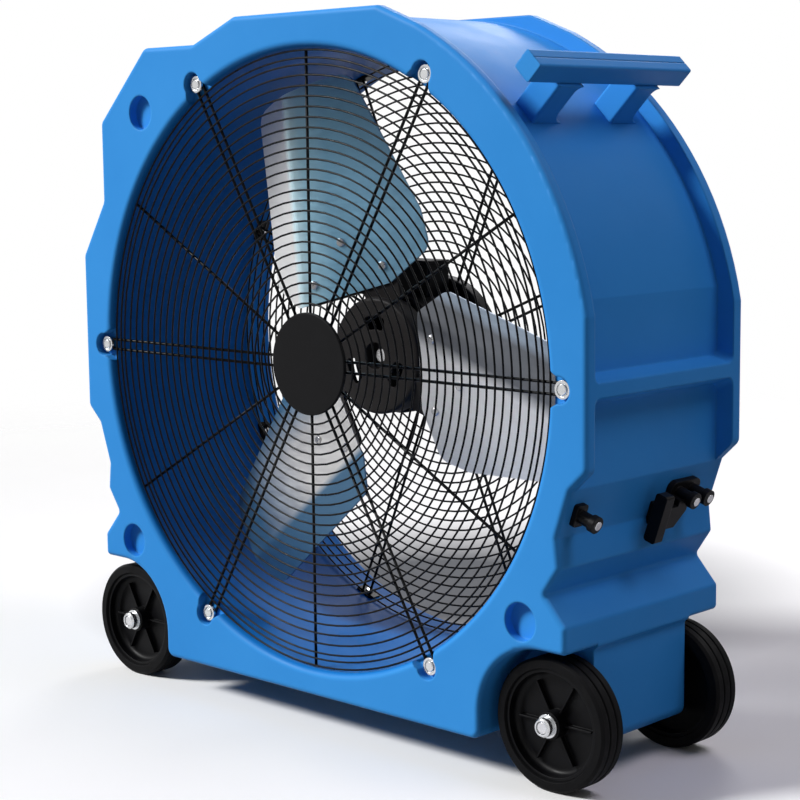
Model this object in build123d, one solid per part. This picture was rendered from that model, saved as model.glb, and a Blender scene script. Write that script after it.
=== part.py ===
from build123d import *
import os
from math import atan2, cos, degrees, pi, radians, sin, sqrt, tan

# Portable drum fan: a moulded housing on four wheels with two wire guards.
#
# Frame: +X right, +Y from the front face to the rear face, +Z up. The origin is on the
# floor, midway between the sides and midway between the front and rear faces.
# Outlines are drawn in (x, z) from the fan axis and stand at axis_height above the floor.
# All sizes are in millimetres.

# ---- housing ----
housing_depth = 238.5      # front face to rear face
bore_radius = 308.0        # drum that the blades turn in
mouth_round = 7.0          # rounded edge of the drum at both faces
shoulder_width = 49.0      # bore to the round shoulder of the two flanges
side_trim = 6.0            # how far the flat sides cut into the round shoulder
top_trim = 15.0            # the same, at the flat top
bottom_width = 27.0        # bore to the underside
recess_depth = 16.0        # how far the drum wall lies below the flange edge
side_recess = 19.0         # the same, on the flat sides
front_flange = 12.0        # flange thicknesses
rear_flange = 15.0
flange_round = 5.0         # rounded outer edge of the flanges
corner_round = 10.0        # rounded corners of the face outline
side_round = 4.5           # the same, on the sloped wall and the foot
top_flat_right = 103.0     # end of the flat top
ear_inset = 37.0           # square shoulder at the upper left, in from the flat side
ear_step = 25.0            # and down from the flat top
ear_chamfer = 76.0
ear_height = 161.0
ear_top_width = 154.0
ear_ramp = 63.0            # slope from the square shoulder to the flat top
ear_fall = 59.0            # slope from the square shoulder to the flat side
rib_height = 13.0          # side rib that joins the flanges
rib_draft = 7.0
rib_end_round = 8.0        # rounded corners where the rib meets the flanges
chamfer_height = 18.0      # heights and insets of the sloped wall, from the top down
slope_height = 44.0
waist_inset = 15.0
waist_height = 28.0
bulge_inset = 12.0
bulge_height = 25.0
notch_inset = 29.0
notch_height = 27.0
foot_inset = 5.0
foot_height = 25.0
base_cover = 25.0          # wall between the front and the rear wheel, beyond the axle
base_corner = 12.0
dimple_radius = 18.0       # blind round recesses in the front face
dimple_depth = 10.0
ear_dimple_inset = (69.0, 67.0)
foot_dimple_inset = (51.0, 1.5)

# ---- wheels ----
wheel_radius = 62.5
wheel_width = 31.0
axle_inset = 35.0          # axle in from the flat side's wall
axle_rise = 26.0           # axle above the underside
arch_clearance = 9.5
pocket_depth = 48.5
axle_radius = 6.0
axle_hole_clearance = 0.15
bush_wall = 3.0
bush_clearance = 0.05      # running fit of the bush on the axle
wheel_side_gap = 0.3
inner_washer = 2.0
outer_washer = 1.6
axle_washer_radius = 11.0
hub_boss_radius = 13.0
rim_radius = 51.6
rim_wall = 3.0
rim_lip = 6.0
web_thickness = 4.0
wheel_ribs = 6
wheel_rib_thickness = 1.6
wheel_rib_reach = 0.67      # outer end of the ribs, as a share of the wheel radius
wheel_rib_sink = 8.5        # top of the ribs below the wheel side
tyre_shoulder = 2.5
tread_groove = 2.0
axle_nut_radius = 9.0
axle_nut_height = 8.0
axle_nut_sink = 0.8        # end of the axle below the nut's face

# ---- guards ----
ring_wire = 2.0
spoke_wire = 3.0
weld_sink = 0.4            # how far a ring sinks into the spokes at each weld
rim_gap = 2.5              # bore to the wire centre of the largest ring
second_ring_gap = 10.0     # the same, for the extra ring of the front guard
front_ring_gap = 16.3      # the same, for the first evenly spaced ring
front_ring_pitch = 10.07
rear_ring_gap = 10.9
rear_ring_pitch = 10.2
guard_seat = 11.0          # seat of the front guard's wires below the face
screw_inset = 12.0         # front screws outside the bore
scallop_radius = 12.3
scallop_mouth = 19.5       # half width where the seat opens into the drum
front_spokes = 6
rear_spokes = 8
rear_spoke_turn = 22.5
spoke_gap = 10.6           # between the wire centres of a doubled spoke
hub_plate_radius = 51.0
hub_plate_thickness = 2.0
guard_washer_radius = 8.5
guard_washer = 1.5
guard_hole_radius = 3.2
washer_rim_width = 2.2     # raised rim of the washers
washer_rim = 1.2
screw_head_radius = 5.0
screw_head = 2.2
screw_length = 18.0
screw_radius = 3.0
rear_guard_inset = 36.25   # rear side of the rear guard's spokes below the rear face
tab_gap = 0.15             # rear guard's tabs to the bore
tab_thickness = 2.0
tab_width = 24.0
tab_front = 6.0            # ends of the tabs from the spokes' rear side
tab_back = 11.0
tab_corner = 3.0
tab_screw_place = 3.5      # screws behind the spokes
tab_screw_radius = 2.2
tab_screw_head_radius = 4.2
tab_screw_length = 14.0

# ---- motor ----
mount_plate_radius = 77.0
mount_plate_depth = 15.0
mount_plate_lead = 10.0    # front of the mounting plate before the spokes' rear side
mount_plate_wall = 3.0
motor_radius = 62.0
motor_length = 43.0
shield_depth = 10.0
shield_boss_radius = 20.0
shield_boss_height = 3.0
shaft_radius = 7.5
shaft_clearance = 1.5
bearing_radius = 16.0
bearing_width = 9.0
bearing_clearance = 0.02
box_width = 46.0           # terminal box on top of the motor
box_length = 34.0
box_height = 30.0
box_lid = 3.0
box_inset = 10.0           # middle of the box before the motor's rear end
motor_bolts = 4
motor_bolt_circle = 52.0
motor_bolt_radius = 2.5
motor_bolt_head = 5.0
motor_bolt_head_height = 3.5
motor_nut_height = 4.0

# ---- rotor ----
hub_gap = 8.0              # rotor hub to the motor's front shield
hub_radius = 60.0
hub_depth = 22.0
hub_wall = 4.0
boss_radius = 20.0
hub_recess_radius = 14.0
hub_recess_depth = 11.0
shaft_stand = 2.0          # shaft end above the floor of the recess
hub_fit = 0.02
window_inner = 27.0
window_outer = 41.0
window_half_angle = 22.0
blade_count = 3
blade_turn = -13.7         # angle of the first blade
blade_thickness = 2.0
blade_pitch = 17.5
blade_lead = 1.6           # blade's mid plane before the hub's front, on its radial line
blade_gap = 18.0           # blade tips to the bore
blade_root = 68.0
blade_flap_pitch = -5.0
blade_fold_radius = 22.0
fold_root = 66.0           # fold line, sideways from the radial line, at the root
fold_slope = 0.136
arm_thickness = 4.0
arm_points = (
    (44.0, -42.0), (100.0, -42.0), (138.0, -6.0), (138.0, 18.0), (100.0, 58.0),
    (66.0, 58.0), (66.0, -4.0), (44.0, -4.0),
)
rivet_radius = 4.5
rivet_shank = 2.0
rivet_height = 2.5
rivet_places = ((87.0, 47.0), (87.0, -31.0), (122.0, 8.0))

# ---- carrying handle ----
handle_bar = 21.0
handle_length = 224.0
hand_gap = 44.5            # drum wall to the bar
handle_angle = 45.0
handle_round = 2.0
post_spread = 57.5
post_length = 27.0
post_width = 28.0
post_top_round = 8.0       # hollow rear side of each post
post_foot_round = 14.0
post_edge_round = 3.0

# ---- cord cleats on the sloped wall ----
peg_inset = 21.25          # behind the front face
peg_drop = 25.0            # down the sloped wall
peg_plate = (15.0, 21.0, 5.0)
neck_radius = 6.2
peg_head_radius = 8.0
peg_head = 6.0
peg_reach = 24.0           # end of the peg from the wall
hook_inset = 62.25         # before the rear face
hook_drop = 24.0
hook_plate = (46.0, 24.0, 6.0)
plate_corner = 3.0
hook_plate_corner = 8.0
hook_peg_rise = 1.5        # pegs above the plate's middle
hook_peg_pitch = 21.5
hook_peg_reach = 27.0
hook_arm = 18.0            # height of the arm from the wall
hook_arm_points = (        # from the plate's middle: along the depth, up the slope
    (-43.0, -6.0), (-43.0, -28.0), (-21.0, -28.0), (-8.0, -12.0), (-8.0, 0.0),
    (-23.0, 0.0), (-23.0, -6.0),
)
hook_bar = (12.0, 48.0, 13.0)
hook_bar_rise = 10.0       # top of the bar above the plate's middle
hook_bar_gap = 11.0        # room for the cord behind the bar
cleat_screw_radius = 4.2
cleat_screw_height = 1.5

# ---- derived places ----
front_face = -housing_depth / 2
rear_face = housing_depth / 2
flange_radius = bore_radius + shoulder_width
half_width = flange_radius - side_trim
top_rise = flange_radius - top_trim
base_drop = bore_radius + bottom_width
core_radius = flange_radius - recess_depth
core_half_width = half_width - side_recess
axle_spread = core_half_width - axle_inset
axle_drop = base_drop - axle_rise
axis_height = axle_drop + wheel_radius
arch_radius = wheel_radius + arch_clearance
base_half_width = axle_spread + base_cover
foot_base = axle_drop - arch_radius   # underside of the foot, level with the arch's top
foot_drop = foot_base - foot_height
notch_drop = foot_drop - notch_height
bulge_drop = notch_drop - bulge_height
waist_drop = bulge_drop - waist_height
slope_drop = waist_drop - slope_height
chamfer_drop = slope_drop - chamfer_height
waist_half_width = core_half_width - waist_inset
bulge_half_width = core_half_width - bulge_inset
notch_half_width = core_half_width - notch_inset
foot_half_width = core_half_width - foot_inset
ear_half_width = half_width - ear_inset
ear_rise = top_rise - ear_step
ear_foot = ear_rise - ear_height
ear_top_end = ear_half_width - ear_top_width
top_flat_left = ear_top_end - ear_ramp
ear_dimple = (ear_dimple_inset[0] - ear_half_width, ear_rise - ear_dimple_inset[1])
foot_dimple = (foot_half_width - foot_dimple_inset[0], -foot_drop - foot_dimple_inset[1])
slope_angle = degrees(atan2(waist_inset, slope_height))
pocket_wall = rear_face - pocket_depth

rim_ring = bore_radius - rim_gap
screw_circle = bore_radius + screw_inset
front_seat = front_face + guard_seat
front_rings = front_seat - spoke_wire - ring_wire + weld_sink
rear_seat = rear_face - rear_guard_inset
rear_rings = rear_seat - spoke_wire - ring_wire + weld_sink
tab_outer = bore_radius - tab_gap
tab_inner = tab_outer - tab_thickness
tab_screw_depth = rear_seat + tab_screw_place

plate_front = rear_seat - mount_plate_lead
plate_back = plate_front + mount_plate_depth
motor_back = plate_front - shield_depth
motor_front = motor_back - motor_length
front_shield_face = motor_front - shield_depth
front_bearing = front_shield_face - shield_boss_height + 1
box_place = motor_back - box_inset
hub_back = front_shield_face - hub_gap
hub_front = hub_back - hub_depth
blade_middle = hub_front - blade_lead
blade_tip = bore_radius - blade_gap
blade_points = (           # outline (along the radial line, sideways); the tip is cut round
    (blade_root, -36.0), (blade_root, 70.0), (96.0, 99.0), (blade_tip + 20, 77.0),
    (blade_tip + 20, -34.0), (132.0, -83.0), (92.0, -84.0),
)
handle_rise = core_radius + hand_gap + handle_bar / 2
peg_place = front_face + peg_inset
hook_place = rear_face - hook_inset


def slab(sketch, y_front, y_back):
    """Solid of an (x, z) outline about the fan axis, between two depths."""
    plane = Plane(origin=(0, y_back, axis_height), x_dir=(1, 0, 0), z_dir=(0, -1, 0))
    return extrude(plane * sketch, amount=y_back - y_front)


def drum(radius, y_front, y_back, x=0.0, z=0.0):
    """Cylinder along the depth, at (x, z) from the fan axis."""
    return slab(Pos(x, z) * Circle(radius), y_front, y_back)


def tube(outer, inner, y_front, y_back, x=0.0, z=0.0):
    return slab(Pos(x, z) * (Circle(outer) - Circle(inner)), y_front, y_back)


def turned(shape, angle):
    """The shape turned about the fan axis, counter-clockwise seen from the front."""
    return shape.rotate(Axis((0, 0, axis_height), (0, 1, 0)), -angle)


def on_circle(radius, angle):
    return radius * cos(radians(angle)), radius * sin(radians(angle))


def lower_side(arched):
    """Points of the right side, from the end of the chamfer to the underside."""
    points = [
        (core_half_width, -slope_drop),
        (waist_half_width, -waist_drop),
        (bulge_half_width, -bulge_drop),
        (notch_half_width, -notch_drop),
        (foot_half_width, -foot_drop),
        (foot_half_width, -foot_base),
    ]
    if not arched:
        points += [(base_half_width, -foot_base - 4), (base_half_width, -base_drop)]
    return points


def mirrored(points):
    return [(-x, z) for x, z in reversed(points)]


def lower_outline(arched):
    """Edges from the right chamfer round the underside to the left chamfer."""
    side = lower_side(arched)
    if not arched:
        return [Polyline(*side, *mirrored(side))]
    top = (axle_spread, -axle_drop + arch_radius)
    turn = (axle_spread - arch_radius, -axle_drop)
    bend = arch_radius * sqrt(0.5)
    middle = (axle_spread - bend, -axle_drop + bend)
    low = (turn[0], -base_drop)
    left = [(-x, z) for x, z in (top, middle, turn, low)]
    return [
        Polyline(*side, top),
        ThreePointArc(top, middle, turn),
        Polyline(turn, low, left[3], left[2]),
        ThreePointArc(left[2], left[1], left[0]),
        Polyline(left[0], *mirrored(side)),
    ]


def rounded(face, smooth, top):
    """The outline with its corners rounded, up to a height; smooth points stay as they are."""
    corners = [v for v in face.vertices()
               if v.Y < top and all(abs(v.X - x) + abs(v.Y - z) > 1 for x, z in smooth)]
    low = [v for v in corners if -base_drop + 1 < v.Y < 1 - slope_drop]
    face = fillet(low, side_round)
    wide = [v for v in face.vertices() for c in corners
            if c not in low and abs(v.X - c.X) + abs(v.Y - c.Y) < 0.01]
    return fillet(wide, corner_round) if wide else face


def arch_ends():
    """Points at which the wheel arches run smoothly into the underside."""
    return [(side * x, z) for side in (-1, 1) for x, z in
            ((axle_spread, -foot_base), (axle_spread - arch_radius, -axle_drop))]


def flange_outline():
    """Face outline: flat top, round right shoulder, square left shoulder."""
    shoulder_z = sqrt(flange_radius**2 - half_width**2)
    arc_start = on_circle(flange_radius, 64.6)
    arc_middle = on_circle(flange_radius, 37.0)
    left = [
        (-core_half_width, -slope_drop),
        (-half_width, -chamfer_drop),
        (-half_width, ear_foot - ear_fall),
        (-ear_half_width, ear_foot),
        (-ear_half_width, ear_rise - ear_chamfer),
        (-ear_half_width + ear_chamfer, ear_rise),
        (-ear_top_end, ear_rise),
        (-top_flat_left, top_rise),
        (top_flat_right, top_rise),
        arc_start,
    ]
    right = [(half_width, shoulder_z), (half_width, -chamfer_drop), (core_half_width, -slope_drop)]
    edges = [Polyline(*left), ThreePointArc(arc_start, arc_middle, right[0]), Polyline(*right)]
    face = make_face(edges + lower_outline(True))
    return rounded(face, arch_ends() + [arc_start, right[0]], top_rise + 1)


def core_outline(arched):
    """Drum wall between the flanges, with the block behind the square shoulder."""
    start_z = sqrt(core_radius**2 - core_half_width**2)
    edges = [
        Line((-core_half_width, -slope_drop), (-core_half_width, start_z)),
        ThreePointArc((-core_half_width, start_z), (0, core_radius), (core_half_width, start_z)),
        Line((core_half_width, start_z), (core_half_width, -slope_drop)),
    ]
    kept = arch_ends() if arched else [(side * base_half_width, -base_drop) for side in (-1, 1)]
    wall = rounded(make_face(edges + lower_outline(arched)), kept, 0)
    inside, inset = bore_radius / 2, side_recess
    block = make_face(Polyline(
        (-inside, inside),
        (-ear_half_width + inset, inside),
        (-ear_half_width + inset, ear_rise - ear_chamfer - inset * tan(pi / 8)),
        (-ear_half_width + ear_chamfer + inset * tan(pi / 8), ear_rise - inset),
        (-inside, ear_rise - inset),
        close=True,
    ))
    return wall + block


def flange(y_front, y_back, face_y):
    plate = slab(flange_outline(), y_front, y_back)
    rim = plate.edges().filter_by(lambda e: abs(e.center().Y - face_y) < 0.01
                                  and abs(e.bounding_box().size.Y) < 0.01)
    return fillet(rim, flange_round)


def side_rib():
    """Drafted rib on the right flat side, with rounded corners where it meets the flanges."""
    front, back = front_face + front_flange, rear_face - rear_flange
    low = rib_height / 2 + rib_draft
    rib = slab(make_face(Polyline(
        (core_half_width, -low), (half_width, -rib_height / 2), (half_width, rib_height / 2),
        (core_half_width, low), (core_half_width - 1, low), (core_half_width - 1, -low),
        close=True)), front - 1, back + 1)
    plane = Plane(origin=(core_half_width, 0, axis_height), x_dir=(0, 1, 0), z_dir=(1, 0, 0))
    for y, inward in ((front, 1), (back, -1)):
        for side in (-1, 1):
            y_end, z_end = y + inward * rib_end_round, side * (low + rib_end_round)
            corner = make_face(Polyline(
                (y - inward, side * (low - 1)), (y_end, side * (low - 1)), (y_end, z_end),
                (y - inward, z_end), close=True)) - Pos(y_end, z_end) * Circle(rib_end_round)
            rib += extrude(plane * corner, amount=2 * side_recess,
                           dir=(side_recess, 0, -side * rib_draft))
    return rib


def bore():
    """Space inside the drum wall, flared at both faces by the rounded mouths."""
    wide, bend = bore_radius + mouth_round, mouth_round * (1 - sqrt(0.5))
    front, back = front_face, rear_face
    edges = [
        Polyline((bore_radius, back - mouth_round), (bore_radius, front + mouth_round)),
        ThreePointArc((bore_radius, front + mouth_round), (bore_radius + bend, front + bend),
                      (wide, front)),
        Polyline((wide, front), (wide, front - 1), (0, front - 1), (0, back + 1), (wide, back + 1),
                 (wide, back)),
        ThreePointArc((wide, back), (bore_radius + bend, back - bend),
                      (bore_radius, back - mouth_round)),
    ]
    return revolve(make_face(edges), Axis.Y).translate((0, 0, axis_height))


def housing():
    body = flange(front_face, front_face + front_flange, front_face)
    body += flange(rear_face - rear_flange, rear_face, rear_face)
    body += slab(core_outline(True), front_face + front_flange, rear_face - rear_flange)
    middle = slab(core_outline(False), -pocket_wall, pocket_wall)
    low = middle.edges().filter_by(Axis.Y).group_by(Axis.Z)[0]
    body += fillet(low, base_corner)
    rib = side_rib() & slab(Rectangle(2 * half_width, 2 * half_width), front_face, rear_face)
    body += rib
    body += mirror(rib, Plane.YZ)
    body -= bore()
    seat = Pos(screw_circle, 0) * Circle(scallop_radius) + make_face(Polyline(
        (bore_radius - 4, -scallop_mouth), (screw_circle - 2, -scallop_radius * 0.98),
        (screw_circle - 2, scallop_radius * 0.98), (bore_radius - 4, scallop_mouth), close=True))
    pilot = Pos(screw_circle, 0) * Circle(screw_radius + 0.1)
    for k in range(front_spokes):
        angle = k * 360 / front_spokes
        body -= turned(slab(seat, front_face - 1, front_seat), angle)
        body -= turned(slab(pilot, front_seat - 1, front_seat + screw_length), angle)
    for k in range(rear_spokes):
        hole = tab_bar(tab_screw_radius + 0.1, tab_inner - 1, tab_inner + tab_screw_length + 0.5)
        body -= turned(hole, rear_spoke_turn + k * 360 / rear_spokes)
    for x, z in (ear_dimple, foot_dimple, (-foot_dimple[0], foot_dimple[1])):
        body -= drum(dimple_radius, front_face - 1, front_face + dimple_depth, x, z)
    for side in (-1, 1):
        body -= drum(axle_radius + axle_hole_clearance, -pocket_wall - 1, pocket_wall + 1,
                     side * axle_spread, -axle_drop)
    return body


def ring(radius, y_front):
    """One guard ring."""
    return tube(radius + ring_wire / 2, radius - ring_wire / 2, y_front, y_front + ring_wire)


def ring_radii(first, pitch, limit):
    """Evenly spaced ring radii, from the first one inwards to a limit."""
    return [first - k * pitch for k in range(int((first - limit) / pitch) + 1)]


def front_ring_radii():
    even = ring_radii(bore_radius - front_ring_gap, front_ring_pitch, hub_plate_radius - 8)
    return [rim_ring, bore_radius - second_ring_gap] + even


def rear_ring_radii():
    return [rim_ring] + ring_radii(bore_radius - rear_ring_gap, rear_ring_pitch,
                                   mount_plate_radius + rear_ring_pitch)


def leg(start, end, width, middle=0.0):
    """Outline of a straight spoke wire along the radial line."""
    return make_face(Polyline(
        (start, middle - width / 2), (end, middle - width / 2),
        (end, middle + width / 2), (start, middle + width / 2), close=True))


def hairpin(inner):
    """A doubled spoke: two legs joined round the screw at its outer end."""
    legs = spoke_gap / 2
    outer = legs + spoke_wire / 2
    gap = legs - spoke_wire / 2
    return make_face(Polyline(
        (inner, outer), (screw_circle, outer), (screw_circle + outer, outer * 0.4),
        (screw_circle + outer, -outer * 0.4), (screw_circle, -outer), (inner, -outer),
        (inner, -gap), (screw_circle, -gap), (screw_circle + gap, -gap * 0.4),
        (screw_circle + gap, gap * 0.4), (screw_circle, gap), (inner, gap), close=True,
    ))


def front_guard():
    """Flat welded guard: rings in front, doubled and single spokes behind them."""
    spokes_front = front_seat - spoke_wire
    inner = hub_plate_radius - 8
    rings = [ring(r, front_rings) for r in front_ring_radii()]
    doubled = slab(hairpin(inner), spokes_front, front_seat)
    single = slab(leg(inner, rim_ring, spoke_wire), spokes_front, front_seat)
    step = 360 / front_spokes
    spokes = [turned(doubled, k * step) for k in range(front_spokes)]
    spokes += [turned(single, (k + 0.5) * step) for k in range(front_spokes)]
    return rings[0].fuse(*rings[1:], *spokes)


def front_hub_plate():
    plate = drum(hub_plate_radius, front_rings - hub_plate_thickness, front_rings)
    return chamfer(plate.edges().group_by(Axis.Y)[0], 0.8)


def tab_bar(radius, low, high):
    """Round bar through a tab's screw hole, between two distances from the fan axis."""
    plane = Plane(origin=(low, tab_screw_depth, axis_height), x_dir=(0, 1, 0), z_dir=(1, 0, 0))
    return extrude(plane * Circle(radius), amount=high - low)


def guard_tab():
    """Curved tab that lies against the drum wall at the end of a doubled spoke."""
    front, back = rear_seat - tab_front, rear_seat + tab_back
    plane = Plane(origin=(tab_inner - 5, (front + back) / 2, axis_height), x_dir=(0, 1, 0),
                  z_dir=(1, 0, 0))
    block = extrude(plane * RectangleRounded(back - front, tab_width, tab_corner), amount=10)
    tab = tube(tab_outer, tab_inner, front - 1, back + 1) & block
    return tab - tab_bar(tab_screw_radius + 0.1, tab_inner - 1, tab_outer + 1)


def rear_guard():
    """Flat welded guard: doubled spokes run from the motor's mounting plate to the tabs."""
    rings = [ring(r, rear_rings) for r in rear_ring_radii()]
    legs = [slab(leg(mount_plate_radius - 5, tab_inner + tab_thickness / 2, spoke_wire,
                     side * spoke_gap / 2), rear_seat - spoke_wire, rear_seat)
            for side in (-1, 1)]
    ends = [piece - drum(mount_plate_radius, plate_front, plate_back) for piece in legs]
    ends.append(guard_tab())
    spokes = [turned(piece, rear_spoke_turn + k * 360 / rear_spokes)
              for k in range(rear_spokes) for piece in ends]
    return rings[0].fuse(*rings[1:], *spokes)


def front_guard_fixings():
    """Rimmed washers and flat pan-head screws that clamp the front guard's loops."""
    base = front_seat - spoke_wire
    top = base - guard_washer
    washer = tube(guard_washer_radius, guard_hole_radius, top, base, screw_circle)
    washer += tube(guard_washer_radius, guard_washer_radius - washer_rim_width,
                   top - washer_rim, top, screw_circle)
    head = drum(screw_head_radius, top - screw_head, top, screw_circle)
    head = chamfer(head.edges().group_by(Axis.Y)[0], screw_head / 4)
    screw = head + drum(screw_radius, top, top + screw_length, screw_circle)
    turns = [k * 360 / front_spokes for k in range(front_spokes)]
    return [Compound(children=[turned(piece, turn) for turn in turns]) for piece in (washer, screw)]


def rear_guard_screws():
    """Pan-head screws set outwards through the rear guard's tabs into the drum wall."""
    face = tab_inner - 0.05
    head = tab_bar(tab_screw_head_radius, face - screw_head, face)
    head = chamfer(head.edges().group_by(Axis.X)[0], screw_head / 4)
    screw = head + tab_bar(tab_screw_radius, face, face + tab_screw_length)
    return Compound(children=[turned(screw, rear_spoke_turn + k * 360 / rear_spokes)
                              for k in range(rear_spokes)])


def axle(side):
    """Steel rod through the housing, carrying a front and a rear wheel."""
    end = wheel_stack()[-1] + axle_nut_height - axle_nut_sink
    rod = drum(axle_radius, -end, end, side * axle_spread, -axle_drop)
    return chamfer(rod.edges().filter_by(GeomType.CIRCLE), 0.8)


def wheel_stack():
    """Depths along a rear axle end, from the pocket wall outwards."""
    inner = pocket_wall + inner_washer
    hub_in = inner + wheel_side_gap
    hub_out = hub_in + wheel_width + 1.0
    outer = hub_out + wheel_side_gap
    return inner, hub_in, hub_out, outer, outer + outer_washer


def at_wheel(shape, x_side, y_side):
    """Place a piece made at the rear right axle at any of the four wheels."""
    if y_side < 0:
        shape = mirror(shape, Plane.XZ)
    if x_side < 0:
        shape = mirror(shape, Plane.YZ)
    return shape


def wheel_hub():
    """Dished plastic hub: boss, web, rim and thin radial ribs on the outer side."""
    inner, hub_in, hub_out, outer, washer = wheel_stack()
    x, z = axle_spread, -axle_drop
    middle = (hub_in + hub_out) / 2
    low, high = middle - wheel_width / 2, middle + wheel_width / 2
    bush_radius = axle_radius + bush_clearance + bush_wall
    hub = drum(rim_radius, low + tyre_shoulder, high - tyre_shoulder, x, z)
    cup = drum(rim_radius - rim_wall, middle + web_thickness / 2, high, x, z)
    cup_edge = cup.edges().filter_by(GeomType.CIRCLE).group_by(Axis.Y)[0]
    hub -= fillet(cup_edge, rim_lip)
    hub -= drum(rim_radius - rim_wall, low, middle - web_thickness / 2, x, z)
    hub += drum(hub_boss_radius, hub_in, hub_out, x, z)
    rib_outer = wheel_rib_reach * wheel_radius
    rib = slab(make_face(Polyline(
        (hub_boss_radius - 1, -wheel_rib_thickness / 2), (rib_outer, -wheel_rib_thickness / 2),
        (rib_outer, wheel_rib_thickness / 2), (hub_boss_radius - 1, wheel_rib_thickness / 2),
        close=True)), middle, high - wheel_rib_sink)
    for k in range(wheel_ribs):
        hub += turned(rib, k * 360 / wheel_ribs).translate((x, 0, z))
    hub -= drum(bush_radius, hub_in - 1, hub_out + 1, x, z)
    return hub


def wheel_bush():
    inner, hub_in, hub_out, outer, washer = wheel_stack()
    bore = axle_radius + bush_clearance
    return tube(bore + bush_wall, bore, hub_in, hub_out, axle_spread, -axle_drop)


def tyre():
    """Solid rubber tyre: flat shoulders and two grooves round the tread."""
    inner, hub_in, hub_out, outer, washer = wheel_stack()
    middle = (hub_in + hub_out) / 2
    half = wheel_width / 2
    shoulder = tyre_shoulder
    side = [
        (rim_radius, half - shoulder), (rim_radius + 1, half), (wheel_radius - shoulder, half),
        (wheel_radius, half - shoulder), (wheel_radius, half * 0.42),
        (wheel_radius - tread_groove, half * 0.36), (wheel_radius - tread_groove, half * 0.3),
        (wheel_radius, half * 0.24),
    ]
    profile = side + [(r, -y) for r, y in reversed(side)]
    plane = Plane(origin=(0, middle, 0), x_dir=(1, 0, 0), z_dir=(0, 0, 1))
    turn = revolve(plane * make_face(Polyline(*profile, close=True)), Axis.Y)
    return turn.translate((axle_spread, 0, axis_height - axle_drop))


def axle_fixings():
    """Spacer washer, outer washer and open ring nut of one axle end."""
    inner, hub_in, hub_out, outer, washer = wheel_stack()
    x, z = axle_spread, -axle_drop
    hole = axle_radius + 0.1
    spacer = tube(axle_washer_radius, hole, pocket_wall, inner, x, z)
    flat = tube(axle_washer_radius, hole, outer, washer, x, z)
    nut = drum(axle_nut_radius, washer, washer + axle_nut_height, x, z)
    nut = chamfer(nut.edges().group_by(Axis.Y)[-1], 1.5)
    return spacer, flat, nut - drum(hole, washer - 1, washer + axle_nut_height + 1, x, z)


def mount_plate():
    """Pressed dish that the rear spokes carry and the motor is bolted to."""
    dish = drum(mount_plate_radius, plate_front, plate_back)
    dish = fillet(dish.edges().group_by(Axis.Y)[0], mount_plate_wall + 1)
    hollow = drum(mount_plate_radius - mount_plate_wall, plate_front + mount_plate_wall, plate_back + 1)
    dish -= fillet(hollow.edges().filter_by(GeomType.CIRCLE).group_by(Axis.Y)[0], 1.0)
    for k in range(motor_bolts):
        x, z = on_circle(motor_bolt_circle, 45 + k * 360 / motor_bolts)
        dish -= drum(motor_bolt_radius + 0.1, plate_front - 1, plate_front + mount_plate_wall + 1, x, z)
    return dish


def bolt_places():
    return [on_circle(motor_bolt_circle, 45 + k * 360 / motor_bolts) for k in range(motor_bolts)]


def motor_body():
    body = drum(motor_radius, motor_front, motor_back)
    body -= drum(shaft_radius + shaft_clearance, motor_front - 1, motor_back + 1)
    for x, z in bolt_places():
        body -= drum(motor_bolt_radius + 0.1, motor_front - 1, motor_back + 1, x, z)
    return body


def motor_front_shield():
    """Front end shield with a short boss round its bearing."""
    low, high = front_shield_face, motor_front
    shield = drum(motor_radius, low, high)
    shield = fillet(shield.edges().group_by(Axis.Y)[0], 4.0)
    shield += drum(shield_boss_radius, low - shield_boss_height, low + 1)
    shield -= drum(shaft_radius + shaft_clearance, low - shield_boss_height - 1, high + 1)
    shield -= drum(bearing_radius, front_bearing, high + 1)
    for x, z in bolt_places():
        shield -= drum(motor_bolt_radius + 0.1, low - 1, high + 1, x, z)
    return shield


def motor_rear_shield():
    low, high = motor_back, plate_front
    shield = drum(motor_radius, low, high)
    shield = fillet(shield.edges().group_by(Axis.Y)[-1], 4.0)
    shield -= drum(bearing_radius, low - 1, low + bearing_width)
    for x, z in bolt_places():
        shield -= drum(motor_bolt_radius + 0.1, low - 1, high + 1, x, z)
    return shield


def motor_bearings():
    bore = shaft_radius + bearing_clearance
    return Compound(children=[tube(bearing_radius, bore, y, y + bearing_width)
                              for y in (front_bearing, motor_back)])


def motor_through_bolts():
    """Bolts from the front shield to the mounting plate, and the nuts behind it."""
    bolts, nuts = [], []
    end = plate_front + mount_plate_wall
    for x, z in bolt_places():
        head = slab(Pos(x, z) * RegularPolygon(motor_bolt_head, 6),
                    front_shield_face - motor_bolt_head_height, front_shield_face)
        shank = drum(motor_bolt_radius, front_shield_face - 1, end + motor_nut_height + 1, x, z)
        bolts.append(head + shank)
        hexagon = Pos(x, z) * (RegularPolygon(motor_bolt_head, 6) - Circle(motor_bolt_radius + 0.1))
        nuts.append(slab(hexagon, end, end + motor_nut_height))
    return Compound(children=bolts), Compound(children=nuts)


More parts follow.
